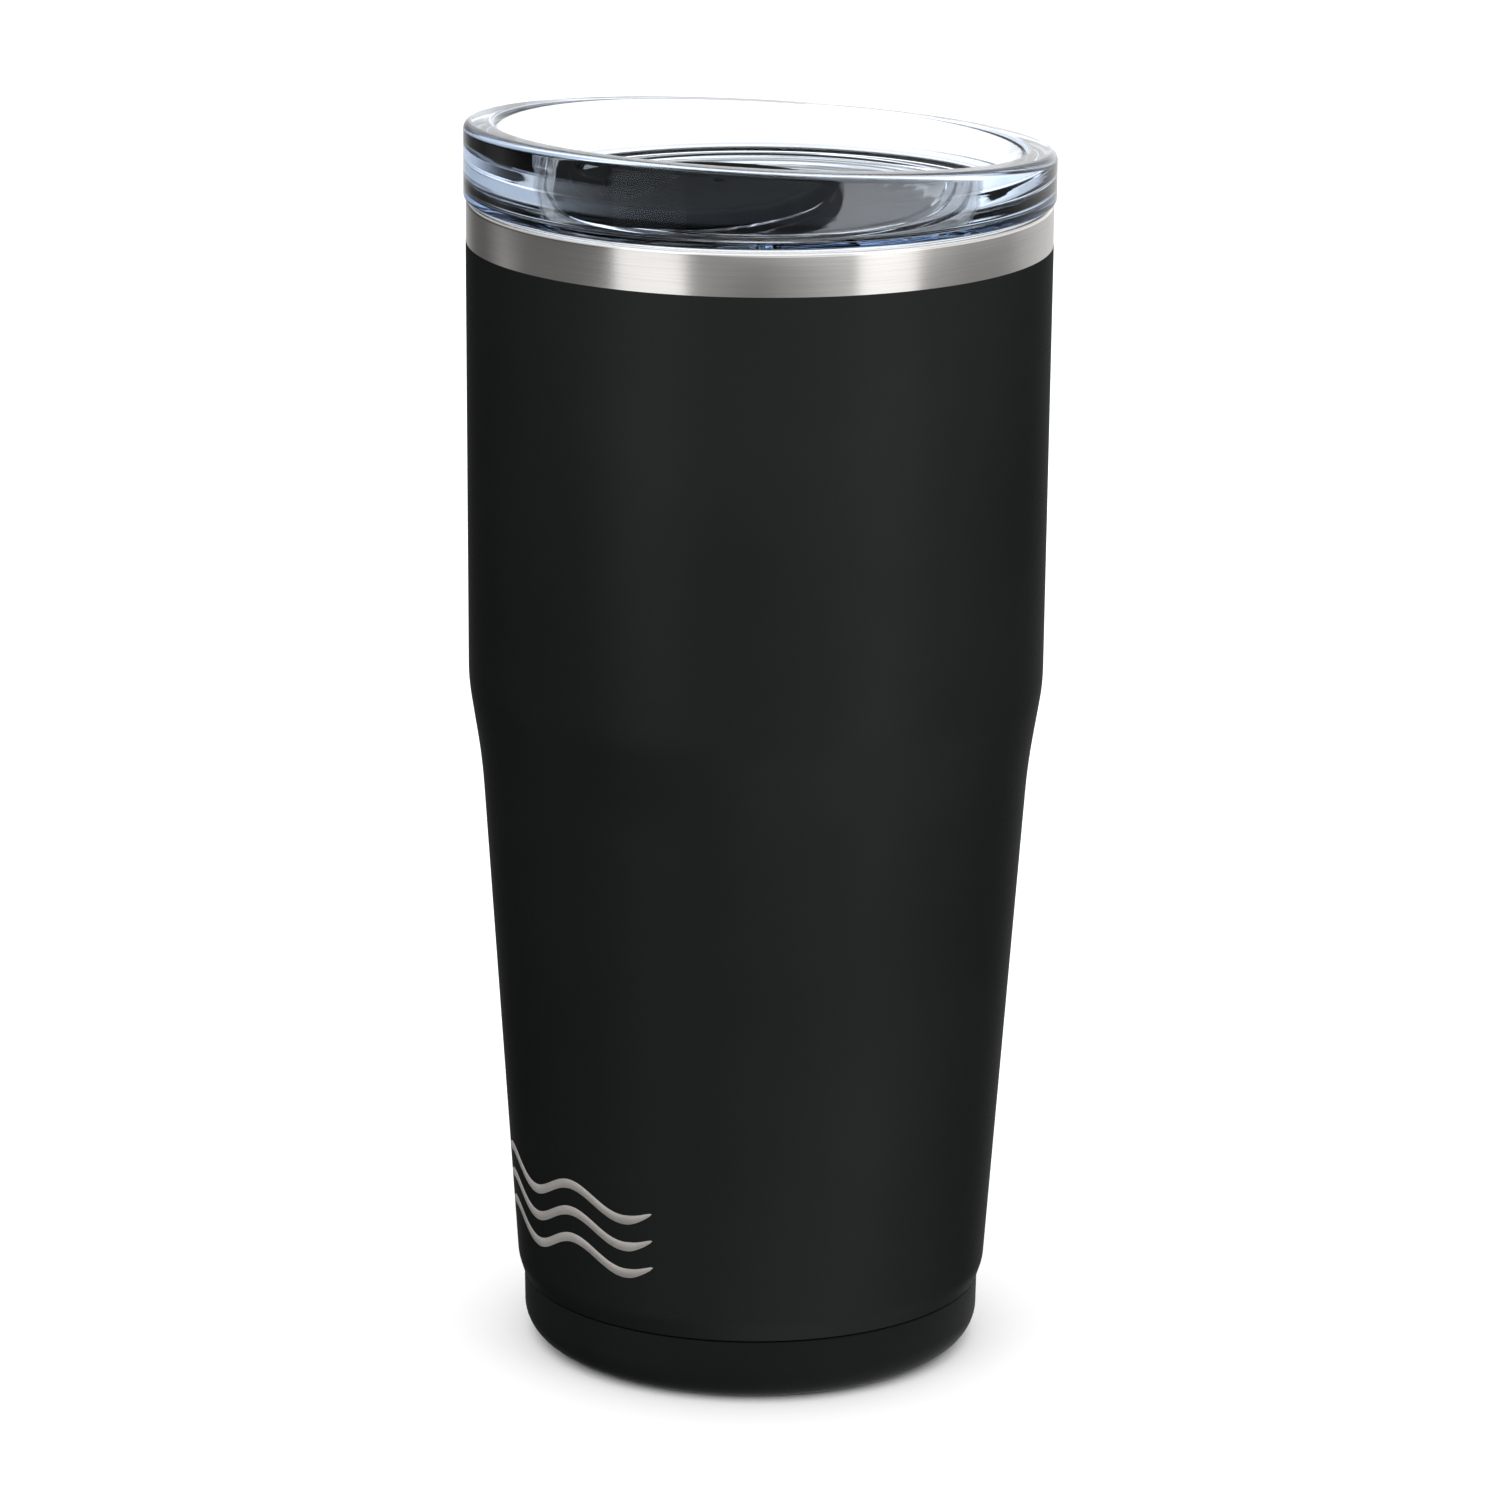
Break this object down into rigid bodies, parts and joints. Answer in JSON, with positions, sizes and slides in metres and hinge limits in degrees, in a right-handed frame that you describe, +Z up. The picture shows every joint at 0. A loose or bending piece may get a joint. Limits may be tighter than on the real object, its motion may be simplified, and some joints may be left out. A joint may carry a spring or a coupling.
{
  "type": "insulated tumbler with lid",
  "caption": "Double-walled steel tumbler with black coat, bare steel lip and silicone boot, and a clear press-in lid with a turning dial for sip, straw or closed.",
  "frame": {"origin": "centre of the boot's foot, on the surface the tumbler stands on", "axes": "+Z up along the cup's axis; -Y towards the lid's front, where the sip opening and the highest point of the rim are"},
  "size_m": [0.0896, 0.0896, 0.1932],
  "materials": {
    "bare_steel": "brushed round the cup, bare",
    "powder_coat": "black powder coat, fine satin texture",
    "liner_steel": "satin electropolished",
    "solder_glass": "melted solder glass, semi-gloss",
    "getter_alloy": "pressed metal powder, dull",
    "boot_silicone": "matte black silicone",
    "clear_plastic": "clear gloss copolyester",
    "seal_silicone": "smooth black silicone",
    "dial_plastic": "black moulded plastic, fine satin"
  },
  "bodies": {
    "cup": {"outer_shell": "bare_steel", "powder_coat": "powder_coat", "inner_liner": "liner_steel", "bottom_disc": "liner_steel", "vacuum_seal": "solder_glass", "getter_wafer": "getter_alloy", "getter_strap": "liner_steel", "base_boot": "boot_silicone"},
    "gasket": {"lid_gasket": "seal_silicone"},
    "lid": {"lid_body": "clear_plastic"},
    "dial": {"mode_dial": "dial_plastic", "dial_seal": "seal_silicone", "stem_ring": "seal_silicone", "stem_retainer": "dial_plastic"}
  },
  "joints": [
    {"name": "lid_lift", "type": "slide", "parent": "cup", "child": "gasket", "axis": [0, 0, 1], "range_m": [0, 0.06]},
    {"name": "lid_turn", "type": "hinge", "parent": "gasket", "child": "lid", "pos_m": [0, 0, 0.1762], "axis": [0, 0, 1], "continuous": true},
    {"name": "dial_turn", "type": "hinge", "parent": "lid", "child": "dial", "pos_m": [0, -0.014, 0.181], "axis": [0, 0, 1], "range_deg": [-60, 60]}
  ]
}
